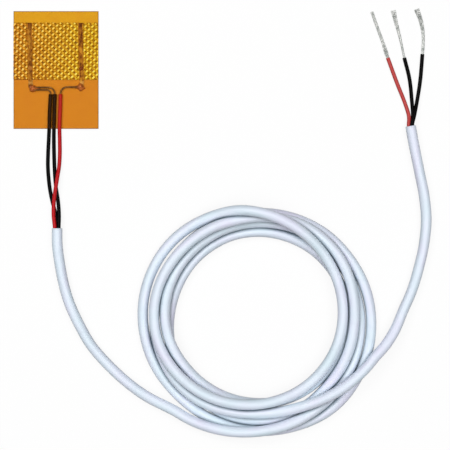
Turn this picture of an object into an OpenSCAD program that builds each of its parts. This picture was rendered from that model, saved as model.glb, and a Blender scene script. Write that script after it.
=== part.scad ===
// Flexible surface temperature sensor: a woven resistance band laminated between two films,
// with two flat ribbons, two solder joints, three insulated leads and a coiled three-core cable.
// Millimetres. The origin is the centre of the patch's underside, +Y runs away from the leads,
// +Z is up from the surface that the patch is stuck to.

/* [Patch] */
// Width of the patch, side to side
patch_w = 19; // [18:0.5:30]
// Length of the patch, along the leads
patch_l = 26.3; // [25:0.1:40]
// Thickness of the adhesive layer
adhesive_t = 0.13; // [0.05:0.01:0.3]
// Thickness of the base film
base_t = 0.13; // [0.05:0.01:0.3]
// Thickness of the cover film
cover_t = 0.08; // [0.04:0.01:0.2]

/* [Woven band] */
// Plain margin between the patch's upper edge and the band
band_margin = 2.6; // [1:0.1:6]
// Length of the band, along the leads
band_l = 12.7; // [8:0.1:16]
// Width of one crossing, side to side
warp_pitch = 0.78; // [0.6:0.01:1.6]
// Length of one crossing, along the leads
weft_pitch = 0.67; // [0.5:0.01:1.4]
// Thickness of the cloth under the knuckles
weave_floor = 0.08; // [0.05:0.01:0.2]
// Height of a knuckle above a dip
weave_rise = 0.22; // [0.12:0.01:0.3]

/* [Sensing winding] */
// Thickness and width of the resistance wire
sense_t = 0.05; // [0.03:0.01:0.1]
// Number of passes from ribbon to ribbon, odd
sense_passes = 19; // [7:2:29]

/* [Ribbons and joints] */
// Width of a flat ribbon
ribbon_w = 1; // [0.6:0.05:1.4]
// Thickness of a flat ribbon
ribbon_t = 0.1; // [0.05:0.01:0.15]
// Distance of the left ribbon's middle from the patch's middle line
left_ribbon_x = 5.8; // [5:0.1:7]
// Distance of the right ribbon's middle from the patch's middle line
right_ribbon_x = 5.6; // [5:0.1:7]
// How far the left ribbon leans inward over the band's length
left_lean = 0.2; // [0:0.05:0.4]
// How far the right ribbon leans outward over the band's length
right_lean = 0.3; // [0:0.05:0.8]
// Length of a ribbon below the band
ribbon_tail = 1.8; // [1.2:0.1:2]
// Radius of a solder joint
joint_r = 0.9; // [0.7:0.05:1]
// Height of a solder joint above the base film
joint_h = 0.9; // [0.8:0.05:1.2]
// Radius of the solder spot on a ribbon
tack_r = 0.42; // [0.2:0.02:0.48]
// Height of the solder spot on a ribbon
tack_h = 0.1; // [0.05:0.01:0.14]
// Distance of the solder spots from the band's lower edge
tack_y = 2.5; // [1:0.1:6]

/* [Leads] */
// Outer diameter of an insulated lead
lead_d = 0.88; // [0.7:0.02:0.9]
// Diameter of a lead's bare conductor
core_d = 0.4; // [0.3:0.02:0.5]
// Straight end of a bare conductor above its lead
core_foot = 0.15; // [0.05:0.05:0.3]
// Distance from the band's lower edge to the leads' insulation
lead_start = 3.3; // [3.2:0.1:4]

/* [Cable] */
// Outer diameter of the cable's jacket
jacket_d = 2.4; // [1.8:0.1:2.6]
// Radius of the coil's open middle
coil_inner_r = 18; // [15:0.1:19]
// Radius of the coil's outside
coil_outer_r = 26.3; // [24:0.1:26.3]
// Height of the coiled turns
coil_h = 5.6; // [4.8:0.1:7]

/* [Hidden] */

$fn = 48;

// Gap between pieces that lie against each other under the film
fit = 0.02;

// Levels of the layers
deck_z = adhesive_t + base_t;
cloth_z = deck_z + sense_t;
ribbon_z = cloth_z + weave_floor;
ribbon_top = ribbon_z + ribbon_t;
lead_z = deck_z + lead_d / 2;

// Places along the patch
patch_top = patch_l / 2;
patch_end = -patch_l / 2;
band_top = patch_top - band_margin;
band_end = band_top - band_l;
band_mid = (band_top + band_end) / 2;
ribbon_end = band_end - ribbon_tail;
lead_y = band_end - lead_start;

// Where the insulated leads begin, side to side
black_x1 = -1.15;
black_x2 = -0.24;
red_x = 1.04;

// Middles of the two solder joints
left_joint = [-left_ribbon_x + 0.6, ribbon_end - 0.25];
right_joint = [right_ribbon_x - 0.05, ribbon_end + 0.1];
// Two conductors lie side by side in the left joint
pair_gap = core_d / 2 + fit;

// Routes of the free wires, from the patch to the cable's mouth
black_route_1 = [
  [black_x1, lead_y, lead_z], [-1.32, -8.2, lead_z], [-1.41, -10.7, lead_z], [-1.48, -13.1, lead_z],
  [-1.62, -15.8, 0.5], [-1.75, -18.6, 0.46], [-1.8, -21.4, 0.46], [-1.65, -24, 0.46],
  [-1.35, -26.6, 0.46], [-0.8, -29.4, 0.46], [0, -32.4, 0.48], [0.48, -35.4, 0.71]
];
black_route_2 = [
  [black_x2, lead_y, lead_z], [-0.3, -8.2, lead_z], [-0.36, -10.7, lead_z], [-0.42, -13.1, lead_z],
  [-0.46, -15.8, 0.5], [-0.42, -18.6, 0.46], [-0.34, -21.4, 0.46], [-0.2, -24, 0.46],
  [0.06, -26.6, 0.46], [0.5, -29.4, 0.64], [0.76, -32.4, 1.2], [0.72, -35.4, 1.6]
];
red_route = [
  [red_x, lead_y, lead_z], [0.97, -8.2, lead_z], [0.88, -10.7, lead_z], [0.82, -13.1, lead_z],
  [0.86, -15.8, 0.5], [0.88, -18.6, 0.5], [0.76, -21.4, 0.8], [0.4, -24, 1.26],
  [0, -26.6, 1.44], [-0.36, -29.4, 1.46], [-0.46, -32.4, 1.42], [-0.17, -35.4, 1.36]
];

// Route of the cable's jacket up to the coil, and away from it
jacket_z = jacket_d / 2 + 0.02;
lead_in_route = [
  [0.35, -35.4, jacket_z], [0.37, -39, jacket_z], [0.85, -43, jacket_z], [1.9, -48.2, jacket_z],
  [3.2, -52.4, jacket_z], [5.1, -56.6, jacket_z], [7.8, -61.3, jacket_z], [11.3, -65.4, jacket_z],
  [15.4, -69.3, 1.35], [20, -72.6, 1.9], [26.7, -76, 3]
];
lead_out_route = [
  [71.1, -63.9, 3.4], [73.6, -61.1, 3], [75.6, -58, 2.4], [77.5, -53.7, 1.7],
  [79.4, -49.4, jacket_z], [80.85, -44.8, jacket_z], [82.1, -39.4, jacket_z], [82.65, -33.4, jacket_z],
  [82.2, -28, jacket_z], [81.1, -22.6, jacket_z], [80, -17.2, jacket_z], [79.2, -12.6, jacket_z]
];
coil_mid = [44.9, -55.4];
coil_corner = 1.2;

// Routes of the tails past the cable's far end, and of their tinned strands
red_tail_route = [
  [78.79, -12.67, 1.1], [78.85, -10.4, 0.6], [78.05, -7.6, 0.46], [76.2, -2.9, 0.46], [74.15, 2.7, 0.46]
];
black_tail_route_1 = [
  [79.61, -12.53, 0.78], [79.75, -10.2, 0.48], [79.5, -6.6, 0.46], [79, -2, 0.46], [77.85, 2.7, 0.46]
];
black_tail_route_2 = [
  [79.45, -12.56, 1.72], [80, -10.2, 1.4], [80.7, -6.8, 0.7], [81.4, -2.4, 0.46], [81.9, 3.5, 0.46]
];
strand_d = 0.6;
red_strand_route = [[74.15, 2.7, 0.46], [73.1, 6, 0.42], [71.8, 9.6, 0.36], [70.6, 13.2, 0.34]];
black_strand_route_1 = [[77.85, 2.7, 0.46], [76.8, 7.6, 0.4], [75.95, 10.8, 0.36], [75.4, 13.5, 0.34]];
black_strand_route_2 = [[81.9, 3.5, 0.46], [82.1, 7.4, 0.4], [81.6, 10.8, 0.36], [80.6, 13.8, 0.34]];

tube_sides = 8;

function clamp(v, lo, hi) = min(max(v, lo), hi);
function unit(v) = v / norm(v);

// Direction of a route at one of its points
function heading(route, i) =
  unit(route[min(i + 1, len(route) - 1)] - route[max(i - 1, 0)]);

// One ring of a round tube, square to a direction
function ring(middle, t, r) =
  let(
    side = unit(cross(t, [0, 0, 1])),
    up = cross(side, t)
  )
  [for (k = [0 : tube_sides - 1])
    let(a = 360 * (k + 0.5) / tube_sides)
    middle + r * (side * cos(a) + up * sin(a))];

// A round tube swept along a route and closed at both ends. An end that meets another tube
// can take that tube's direction, so that the two meet face to face.
module tube(route, d, first = undef, last = undef) {
  n = len(route);
  ways = [for (i = [0 : n - 1])
    i == 0 && first != undef ? first
      : i == n - 1 && last != undef ? last
      : heading(route, i)];
  pts = [for (i = [0 : n - 1]) each ring(route[i], ways[i], d / 2)];
  sides = [for (i = [0 : n - 2]) for (k = [0 : tube_sides - 1])
    let(
      a = i * tube_sides + k,
      b = i * tube_sides + (k + 1) % tube_sides
    )
    each [[a, b, b + tube_sides], [a, b + tube_sides, a + tube_sides]]];
  first_cap = [for (k = [tube_sides - 1 : -1 : 0]) k];
  last_cap = [for (k = [0 : tube_sides - 1]) (n - 1) * tube_sides + k];
  polyhedron(points = pts, faces = concat([first_cap], sides, [last_cap]), convexity = 8);
}

// A surface given by its heights over a grid of lines, down to a flat floor.
// The rows share one list of lengthwise places, and each row has its own sideways places.
module height_block(rows, floor_z) {
  ny = len(rows);
  nx = len(rows[0]);
  top = [for (row = rows) each row];
  first = rows[0][0];
  last = rows[ny - 1][nx - 1];
  base = [
    [first[0], first[1], floor_z], [last[0], first[1], floor_z],
    [last[0], last[1], floor_z], [first[0], last[1], floor_z]
  ];
  b = nx * ny;
  cells = [for (j = [0 : ny - 2]) for (i = [0 : nx - 2]) each folded_cell(top, j * nx + i, nx)];
  front = wall_fan([for (i = [0 : nx - 1]) i], b, b + 1);
  back = wall_fan([for (i = [nx - 1 : -1 : 0]) (ny - 1) * nx + i], b + 2, b + 3);
  left = wall_fan([for (j = [ny - 1 : -1 : 0]) j * nx], b + 3, b);
  right = wall_fan([for (j = [0 : ny - 1]) j * nx + nx - 1], b + 1, b + 2);
  polyhedron(
    points = concat(top, base),
    faces = concat(cells, front, back, left, right, [[b, b + 1, b + 2, b + 3]]),
    convexity = 10
  );
}

// The two upper triangles of a grid cell, folded along its lower diagonal, so that a knuckle
// is a pyramid with four flanks
function folded_cell(pts, a, nx) =
  pts[a][2] + pts[a + nx + 1][2] <= pts[a + 1][2] + pts[a + nx][2]
    ? [[a, a + nx, a + nx + 1], [a, a + nx + 1, a + 1]]
    : [[a, a + nx, a + 1], [a + nx, a + nx + 1, a + 1]];

// Triangles of one side wall: half of its upper points meet each lower corner
function wall_fan(tops, near, far) =
  let(last = len(tops) - 1, mid = floor(last / 2))
  concat(
    [for (i = [0 : mid - 1]) [tops[i], tops[i + 1], near]],
    [[tops[mid], far, near]],
    [for (i = [mid : last - 1]) [tops[i], tops[i + 1], far]]
  );

// Half width of the flat channel in the cloth that a ribbon lies in
channel_half = ribbon_w / 2 + fit;

// Sideways sample lines of one stretch of cloth: place and weave phase, one to a crossing
function cloth_lines(x0, x1) =
  let(n = max(1, round((x1 - x0) / warp_pitch)))
  [for (i = [0 : n]) [x0 + (x1 - x0) * i / n, 1 - 2 * (i % 2)]];

// The two edges of the floor of a flat channel that a ribbon lies in
function channel_lines(x) = [for (side = [-1, 1]) [x + side * (ribbon_w + fit) / 2, channel_floor]];

// How far each place across the cloth leans with the ribbons over the band's length
ribbon_leans = [
  [-left_ribbon_x - channel_half, left_lean], [-left_ribbon_x + channel_half, left_lean],
  [right_ribbon_x - channel_half, right_lean], [right_ribbon_x + channel_half, right_lean]
];
cloth_leans = concat([[-patch_w / 2, 0]], ribbon_leans, [[patch_w / 2, 0]]);

// Sideways shift that makes the cloth follow the leaning ribbons
function lean_at(x, y) = lookup(x, cloth_leans) * (band_mid - y) / band_l;

module adhesive_backing() {
  color([0.86, 0.78, 0.6])
    translate([-patch_w / 2, patch_end, 0])
      cube([patch_w, patch_l, adhesive_t]);
}

module base_film() {
  color([0.8, 0.5, 0.14])
    translate([-patch_w / 2, patch_end, adhesive_t])
      cube([patch_w, patch_l, base_t]);
}

// Serpentine winding from the left ribbon's tail to the right ribbon's tail
module sense_wire() {
  pitch = band_l / (sense_passes + 1);
  x0 = -left_ribbon_x;
  x1 = right_ribbon_x + right_lean / 2;
  foot_y = band_end - ribbon_tail / 3;
  color([0.72, 0.66, 0.5])
    union() {
      for (i = [1 : sense_passes])
        translate([x0 - sense_t / 2, band_top - i * pitch - sense_t / 2, deck_z])
          cube([x1 - x0 + sense_t, sense_t, sense_t]);
      for (i = [1 : sense_passes - 1])
        translate([(i % 2 == 1 ? x1 : x0) - sense_t / 2, band_top - (i + 1) * pitch - sense_t / 2, deck_z])
          cube([sense_t, pitch + sense_t, sense_t]);
      sense_end(x0 - 4 * sense_t, x0, band_top - pitch, foot_y);
      sense_end(x1, x1, band_top - sense_passes * pitch, foot_y);
    }
}

// One end of the winding: a run down to its foot, which rises to the ribbon's underside
module sense_end(x, start_x, y, foot_y) {
  left = min(x, start_x);
  translate([left - sense_t / 2, y - sense_t / 2, deck_z])
    cube([abs(x - start_x) + sense_t, sense_t, sense_t]);
  translate([x - sense_t / 2, foot_y - sense_t / 2, deck_z])
    cube([sense_t, y - foot_y + sense_t, sense_t]);
  translate([x - sense_t, foot_y - sense_t, deck_z])
    cube([2 * sense_t, 2 * sense_t, ribbon_z - deck_z]);
}

channel_floor = 2;
weave_lines = concat(
  cloth_lines(-patch_w / 2, -left_ribbon_x - channel_half),
  channel_lines(-left_ribbon_x),
  cloth_lines(-left_ribbon_x + channel_half, right_ribbon_x - channel_half),
  channel_lines(right_ribbon_x),
  cloth_lines(right_ribbon_x + channel_half, patch_w / 2)
);
wefts = round(band_l / weft_pitch);

function weft_y(j) = band_end + band_l * j / wefts;

// Height of the knuckles above the cloth's floor at each line of one row
function knuckle_row(j) =
  let(phase = 1 - 2 * (j % 2))
  [for (line = weave_lines)
    [line[0], line[1] == channel_floor ? 0 : weave_rise * (1 + line[1] * phase) / 2]];

// Plain-woven band: knuckles and dips alternate, and two flat channels hold the ribbons
module glass_weave() {
  rows = [for (j = [0 : wefts])
    let(y = weft_y(j))
    [for (k = knuckle_row(j)) [k[0] + lean_at(k[0], y), y, ribbon_z + k[1]]]];
  color([0.85, 0.62, 0.12])
    height_block(rows, cloth_z);
}

// A flat ribbon, leaning by a given amount over the band's length
module ribbon(x, lean) {
  y1 = band_top - 2 * fit;
  x_at = function(y) x + lean * (band_mid - y) / band_l;
  color([0.6, 0.38, 0.18])
    translate([0, 0, ribbon_z])
      linear_extrude(ribbon_t)
        polygon([
          [x_at(ribbon_end) - ribbon_w / 2, ribbon_end],
          [x_at(ribbon_end) + ribbon_w / 2, ribbon_end],
          [x_at(y1) + ribbon_w / 2, y1],
          [x_at(y1) - ribbon_w / 2, y1]
        ]);
}

module left_ribbon() {
  ribbon(-left_ribbon_x, left_lean);
}

module right_ribbon() {
  ribbon(right_ribbon_x, right_lean);
}

// Low round cap of solder, elliptical in section
module solder_cap(r, h) {
  steps = 8;
  rotate_extrude()
    polygon(concat(
      [[0, 0]],
      [for (i = [0 : steps]) [r * cos(90 * i / steps), h * sin(90 * i / steps)]]
    ));
}

module ribbon_tack(x, lean) {
  y = band_end + tack_y;
  color([0.45, 0.16, 0.1])
    translate([x + lean * (band_mid - y) / band_l, y, ribbon_top])
      solder_cap(tack_r, tack_h);
}

module left_ribbon_tack() {
  ribbon_tack(-left_ribbon_x, left_lean);
}

module right_ribbon_tack() {
  ribbon_tack(right_ribbon_x, right_lean);
}

// Solder joint: a blob on the base film that takes in the ribbon's end and the bare wires
module left_solder_joint() {
  color([0.56, 0.26, 0.12])
    difference() {
      translate([left_joint[0], left_joint[1], deck_z])
        solder_cap(joint_r, joint_h);
      ribbon_slot(-left_ribbon_x, left_lean);
      wire_bore(left_joint[0], left_joint[1] + pair_gap);
      wire_bore(left_joint[0], left_joint[1] - pair_gap);
    }
}

module right_solder_joint() {
  color([0.56, 0.26, 0.12])
    difference() {
      translate([right_joint[0], right_joint[1], deck_z])
        solder_cap(joint_r, joint_h);
      ribbon_slot(right_ribbon_x, right_lean);
      mirror([1, 0, 0])
        wire_bore(-right_joint[0], right_joint[1]);
    }
}

// Room for a ribbon's end in a joint
module ribbon_slot(x, lean) {
  x_at = function(y) x + lean * (band_mid - y) / band_l;
  y0 = ribbon_end - fit;
  y1 = ribbon_end + 2 * joint_r;
  half = ribbon_w / 2 + fit / 2;
  translate([0, 0, deck_z - fit])
    linear_extrude(ribbon_top - deck_z + fit)
      polygon([
        [x_at(y0) - half, y0], [x_at(y0) + half, y0],
        [x_at(y1) + half, y1], [x_at(y1) - half, y1]
      ]);
}

// Room for a bare wire that ends at the middle of a joint and leaves to the right
module wire_bore(x, y) {
  translate([x, y, lead_z])
    rotate([0, 90, 0])
      cylinder(d = core_d + fit, h = 2 * joint_r);
}

// Bare conductor: from the middle of its joint sideways, and round one bend down into its lead
module conductor(from, to) {
  way = sign(to[0] - from[0]);
  bend = from[1] - to[1] - core_foot;
  run = abs(to[0] - from[0]) - bend;
  color([0.78, 0.45, 0.2])
    translate([from[0], from[1], lead_z])
      mirror([way < 0 ? 1 : 0, 0, 0])
        union() {
          rotate([0, 90, 0])
            cylinder(d = core_d, h = run, $fn = 24);
          translate([run, -bend, 0])
            rotate_extrude(angle = 90, $fn = 24)
              translate([bend, 0])
                circle(d = core_d, $fn = 24);
          translate([run + bend, -bend, 0])
            rotate([90, 0, 0])
              cylinder(d = core_d, h = core_foot, $fn = 24);
        }
}

module black_conductor_1() {
  conductor([left_joint[0], left_joint[1] - pair_gap], [black_x1, lead_y]);
}

module black_conductor_2() {
  conductor([left_joint[0], left_joint[1] + pair_gap], [black_x2, lead_y]);
}

module red_conductor() {
  conductor(right_joint, [red_x, lead_y]);
}

// The cover film lies on the base film, follows the knuckles of the woven band, and drapes over
// the ribbons' ends, the joints, the bare wires and the three leads
drape = 0.55;
crown_r = 0.6 * joint_r;
lead_rise = lead_d + fit;
wire_rise = lead_z - deck_z + core_d / 2 + fit;
joint_rise = joint_h + fit;
ribbon_rise = ribbon_top - deck_z + fit;
tent_left = black_x1 - lead_d / 2 - 0.22;
tent_right = red_x + lead_d / 2 + 0.04;
film_steps = 8;
film_step = (band_end - lead_y) / film_steps;
film_lines = concat(
  [tent_left - drape, tent_left, tent_right, tent_right + drape],
  [for (joint = [left_joint, right_joint]) for (s = [-1 : 0.5 : 1]) joint[0] + s * joint_r],
  [for (joint = [left_joint, right_joint]) for (s = [-1, 1]) joint[0] + s * (joint_r + drape)]
);

// Numbers in rising order
function sorted(v) =
  len(v) < 2 ? v :
  let(p = v[floor(len(v) / 2)])
  concat(sorted([for (x = v) if (x < p) x]), [p], sorted([for (x = v) if (x > p) x]));

function outside(v, lo, hi) = max(lo - v, v - hi, 0);

// Share of its full rise that a tent has at a place: 1 over its rectangle, 0 past its slopes
function tent(x, y, x0, x1, y0, y1) =
  clamp(1 - norm([outside(x, x0, x1), outside(y, y0, y1)]) / drape, 0, 1);

// The same for the round mound over a joint
function mound(x, y, joint) =
  clamp((joint_r + drape - norm([x - joint[0], y - joint[1]])) / (joint_r + drape - crown_r), 0, 1);

// Sideways shift of the film below the band, which follows the ribbons' tails
film_leans = concat(
  [cloth_leans[0], ribbon_leans[0], ribbon_leans[1], [tent_left - drape, 0], [tent_right + drape, 0]],
  [ribbon_leans[2], ribbon_leans[3], cloth_leans[5]]
);

function tail_share(y) = (band_mid - max(y, ribbon_end)) / band_l;

// Height of the film's underside beside the band
function film_under(x, y) =
  let(
    pair = pair_gap + core_d / 2 + film_step,
    single = core_d / 2 + film_step,
    left = -left_ribbon_x + left_lean * tail_share(y),
    right = right_ribbon_x + right_lean * tail_share(y)
  )
  deck_z + max(
    lead_rise * tent(x, y, tent_left, tent_right, patch_end, lead_y),
    wire_rise * max(
      tent(x, y, tent_left, tent_right, lead_y, right_joint[1] + single),
      tent(x, y, left_joint[0], tent_left, left_joint[1] - pair, left_joint[1] + pair),
      tent(x, y, tent_right, right_joint[0], right_joint[1] - single, right_joint[1] + single)
    ),
    joint_rise * max(mound(x, y, left_joint), mound(x, y, right_joint)),
    ribbon_rise * max(
      tent(x, y, left - channel_half, left + channel_half, ribbon_end, band_end),
      tent(x, y, right - channel_half, right + channel_half, ribbon_end, band_end)
    )
  );

function on_ribbon(x) =
  min(abs(x + left_ribbon_x), abs(x - right_ribbon_x)) < channel_half + fit / 2;

// Height of the film's underside above the cloth's floor at each line of one row of the band
function film_row(j) =
  let(
    near_tack = abs(weft_y(j) - band_end - tack_y) < tack_r + band_l / wefts,
    over_ribbon = ribbon_t + (near_tack ? tack_h : 0)
  )
  [for (k = knuckle_row(j)) [k[0], max(k[1], on_ribbon(k[0]) ? over_ribbon : 0) + fit]];

// Lines of the band and of the drape, none so close to another that slivers come of it
film_xs = sorted(concat(
  [for (line = weave_lines) line[0]],
  [for (x = film_lines) if (min([for (line = weave_lines) abs(line[0] - x)]) > 4 * fit) x]
));

// Clear amber film of even thickness
module cover_film() {
  steps = [for (i = [-1 : film_steps - 1]) lead_y + i * film_step];
  below = [for (y = concat([patch_end], steps))
    [for (x = film_xs)
      let(at = x + lookup(x, film_leans) * tail_share(y))
      [at, y, film_under(at, y)]]];
  band = [for (j = [0 : wefts])
    let(y = weft_y(j), row = film_row(j))
    [for (x = film_xs) [x + lean_at(x, y), y, ribbon_z + lookup(x, row)]]];
  above = [for (y = [band_top + drape, patch_top])
    [for (x = film_xs) [x, y, deck_z]]];
  rows = concat(below, band, above);
  nx = len(film_xs);
  ny = len(rows);
  under = [for (row = rows) each row];
  over = [for (p = under) p + [0, 0, cover_t]];
  b = nx * ny;
  folds = [for (j = [0 : ny - 2]) for (i = [0 : nx - 2]) each folded_cell(under, j * nx + i, nx)];
  lower = [for (f = folds) [f[2], f[1], f[0]]];
  upper = [for (f = folds) [b + f[0], b + f[1], b + f[2]]];
  ends = [for (i = [0 : nx - 2])
    let(c = (ny - 1) * nx + i)
    each [[i + 1, i, b + i, b + i + 1], [c, c + 1, b + c + 1, b + c]]];
  edges = [for (j = [0 : ny - 2])
    let(a = j * nx, c = j * nx + nx - 1)
    each [[a, a + nx, b + a + nx, b + a], [c + nx, c, b + c, b + c + nx]]];
  color([0.88, 0.56, 0.14, 0.6])
    polyhedron(points = concat(under, over), faces = concat(lower, upper, ends, edges), convexity = 8);
}

// Directions of the cable at its mouth and at its far end
mouth_way = heading(lead_in_route, 0);
far_way = heading(lead_out_route, len(lead_out_route) - 1);

module black_lead_1() {
  color([0.08, 0.08, 0.09])
    tube(black_route_1, lead_d, [0, -1, 0], mouth_way);
}

module black_lead_2() {
  color([0.08, 0.08, 0.09])
    tube(black_route_2, lead_d, [0, -1, 0], mouth_way);
}

module red_lead() {
  color([0.7, 0.08, 0.1])
    tube(red_route, lead_d, [0, -1, 0], mouth_way);
}

module cable_lead_in() {
  color([0.86, 0.91, 0.96])
    tube(lead_in_route, jacket_d);
}

module cable_lead_out() {
  color([0.86, 0.91, 0.96])
    tube(lead_out_route, jacket_d);
}

// The coiled turns as one ring with rounded edges
module cable_coil() {
  band = coil_outer_r - coil_inner_r;
  color([0.86, 0.91, 0.96])
    translate([coil_mid[0], coil_mid[1], 0])
      rotate_extrude($fn = 96)
        union() {
          translate([coil_inner_r + coil_corner, 0])
            square([band - 2 * coil_corner, coil_h]);
          translate([coil_inner_r, coil_corner])
            square([band, coil_h - 2 * coil_corner]);
          for (x = [coil_inner_r + coil_corner, coil_outer_r - coil_corner])
            for (z = [coil_corner, coil_h - coil_corner])
              translate([x, z])
                circle(r = coil_corner, $fn = 24);
        }
}

module black_tail_1() {
  color([0.08, 0.08, 0.09])
    tube(black_tail_route_1, lead_d, far_way);
}

module black_tail_2() {
  color([0.08, 0.08, 0.09])
    tube(black_tail_route_2, lead_d, far_way);
}

module red_tail() {
  color([0.76, 0.3, 0.26])
    tube(red_tail_route, lead_d, far_way);
}

module black_strands_1() {
  color([0.7, 0.7, 0.68])
    tube(black_strand_route_1, strand_d, heading(black_tail_route_1, len(black_tail_route_1) - 1));
}

module black_strands_2() {
  color([0.7, 0.7, 0.68])
    tube(black_strand_route_2, strand_d, heading(black_tail_route_2, len(black_tail_route_2) - 1));
}

module red_strands() {
  color([0.7, 0.7, 0.68])
    tube(red_strand_route, strand_d, heading(red_tail_route, len(red_tail_route) - 1));
}

adhesive_backing();
base_film();
sense_wire();
glass_weave();
left_ribbon();
right_ribbon();
left_ribbon_tack();
right_ribbon_tack();
left_solder_joint();
right_solder_joint();
cover_film();
black_conductor_1();
black_conductor_2();
red_conductor();
black_lead_1();
black_lead_2();
red_lead();
cable_lead_in();
cable_coil();
cable_lead_out();
black_tail_1();
black_tail_2();
red_tail();
black_strands_1();
black_strands_2();
red_strands();
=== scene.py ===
import math

import bpy
import numpy as np
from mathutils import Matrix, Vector, noise


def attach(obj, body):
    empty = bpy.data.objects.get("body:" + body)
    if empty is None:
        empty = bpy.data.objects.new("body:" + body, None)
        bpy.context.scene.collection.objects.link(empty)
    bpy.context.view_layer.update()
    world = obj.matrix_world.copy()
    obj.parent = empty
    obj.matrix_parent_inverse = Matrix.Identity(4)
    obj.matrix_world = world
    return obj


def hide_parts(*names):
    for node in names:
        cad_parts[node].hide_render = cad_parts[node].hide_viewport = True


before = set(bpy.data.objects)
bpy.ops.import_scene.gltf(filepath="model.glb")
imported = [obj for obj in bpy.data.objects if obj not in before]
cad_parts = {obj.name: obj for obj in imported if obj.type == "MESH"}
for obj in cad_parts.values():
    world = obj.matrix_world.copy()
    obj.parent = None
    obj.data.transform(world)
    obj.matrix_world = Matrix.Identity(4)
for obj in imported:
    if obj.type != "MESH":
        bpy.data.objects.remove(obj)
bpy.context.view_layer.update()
mm = 0.001
scene = bpy.context.scene
print("frame loaded")


def linear(*display):
    # 0 to 255 display values as the linear colour a shader takes
    return tuple(((c / 255 + 0.055) / 1.055) ** 2.4 if c > 10 else c / 255 / 12.92 for c in display)


def smooth(t):
    t = np.clip(t, 0, 1)
    return t * t * (3 - 2 * t)


# Camera

cameraSet = {"lens": 150, "sensor": 36, "middle": (37.78 * mm, -34.65 * mm), "fieldWidth": 100.67 * mm}


def makeCamera():
    data = bpy.data.cameras.new("camera")
    data.lens, data.sensor_width = cameraSet["lens"], cameraSet["sensor"]
    data.clip_start, data.clip_end = 0.01, 5
    camera = bpy.data.objects.new("camera", data)
    scene.collection.objects.link(camera)
    distance = cameraSet["fieldWidth"] / 2 * cameraSet["lens"] / (cameraSet["sensor"] / 2)
    camera.location = (*cameraSet["middle"], distance)
    scene.camera = camera


makeCamera()
scene.view_settings.view_transform = "Standard"
print("camera placed")


# Swept tubes for the cords

def hermite(t, start, end, leaving, arriving):
    # smooth from start to end, with the slope at each
    return ((2 * t**3 - 3 * t**2 + 1) * start + (t**3 - 2 * t**2 + t) * leaving
            + (-2 * t**3 + 3 * t**2) * end + (t**3 - t**2) * arriving)


def distanceAlong(path):
    return np.concatenate([[0], np.cumsum(np.linalg.norm(np.diff(path, axis=0), axis=1))])


def through(points, step):
    # an even walk along a smooth curve through the points
    p = np.array(points, float)
    p = np.vstack([2 * p[0] - p[1], p, 2 * p[-1] - p[-2]])
    t = np.linspace(0, 1, 24, endpoint=False)[:, None]
    run = []
    for a, b, c, d in zip(p, p[1:], p[2:], p[3:]):
        ta, tb, tc = (max(np.linalg.norm(q), 1e-9) ** 0.5 for q in (b - a, c - b, d - c))
        leaving = (b - a) / ta - (c - a) / (ta + tb) + (c - b) / tb
        arriving = (c - b) / tb - (d - b) / (tb + tc) + (d - c) / tc
        run.append(hermite(t, b, c, leaving * tb, arriving * tb))
    run = np.vstack([*run, p[-2:-1]])
    gone = distanceAlong(run)
    marks = np.linspace(0, gone[-1], max(2, round(gone[-1] / step) + 1))
    return np.stack([np.interp(marks, gone, run[:, k]) for k in range(3)], axis=1)


def framesAlong(path):
    # side and up directions carried along the path without spin
    way = np.gradient(path, axis=0)
    way /= np.linalg.norm(way, axis=1)[:, None]
    side = np.cross(way[0], (0, 0, 1))
    sides = []
    for w in way:
        side = side - w * side.dot(w)
        side /= np.linalg.norm(side)
        sides.append(side)
    sides = np.array(sides)
    return way, sides, np.cross(sides, way)


def meshObject(name, points, faces, uv=None):
    mesh = bpy.data.meshes.new(name)
    mesh.from_pydata(points, [], faces)
    if uv is not None:
        layer = mesh.uv_layers.new(name="along")
        layer.data.foreach_set("uv", np.asarray(uv, np.float32).ravel())
    mesh.polygons.foreach_set("use_smooth", [True] * len(mesh.polygons))
    mesh.validate()
    obj = bpy.data.objects.new(name, mesh)
    scene.collection.objects.link(obj)
    return obj


def sweepTube(name, path, radiusAt, sides, bore=None, mouthDepth=0.0):
    # radiusAt(distance array, angle array) gives the skin; bore opens both ends down to mouthDepth
    way, side, up = framesAlong(path)
    gone = distanceAlong(path)
    angle = 2 * math.pi * np.arange(sides) / sides
    radius = np.broadcast_to(radiusAt(gone[:, None], angle[None, :]), (len(path), sides))
    spread = side[:, None, :] * np.cos(angle)[None, :, None] + up[:, None, :] * np.sin(angle)[None, :, None]
    rings = list(path[:, None, :] + spread * radius[:, :, None])
    distances = list(gone)

    def mouth(i, inward):
        # a rounded rim, then the bore's wall and its floor
        lip = 0.12 * bore
        out = []
        for r, depth in ((radius[i] - lip * 0.3, -lip * 0.15), ((radius[i] + bore) / 2, -lip * 0.2),
                         (bore + lip * 0.2, 0.0), (bore, lip), (bore, mouthDepth), (bore * 0.1, mouthDepth)):
            out.append(path[i] + spread[i] * np.broadcast_to(r, sides)[:, None] + way[i] * inward * depth)
        return out

    if bore:
        rings = mouth(0, 1)[::-1] + rings + mouth(len(path) - 1, -1)
        distances = [0.0] * 6 + distances + [gone[-1]] * 6
    n = len(rings)
    points = np.concatenate(rings)
    faces, uv = [], []
    for i in range(n - 1):
        for k in range(sides):
            j = (k + 1) % sides
            faces.append((i * sides + k, i * sides + j, (i + 1) * sides + j, (i + 1) * sides + k))
            uv += [(distances[i], k / sides), (distances[i], (k + 1) / sides),
                   (distances[i + 1], (k + 1) / sides), (distances[i + 1], k / sides)]
    for ring, order in ((0, -1), (n - 1, 1)):
        faces.append(tuple(ring * sides + k for k in range(sides))[::order])
        uv += [(distances[ring], 0.5)] * sides
    return meshObject(name, points, faces, uv)


# The cable: in from the leads, five settled turns, and out to the tails

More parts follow.
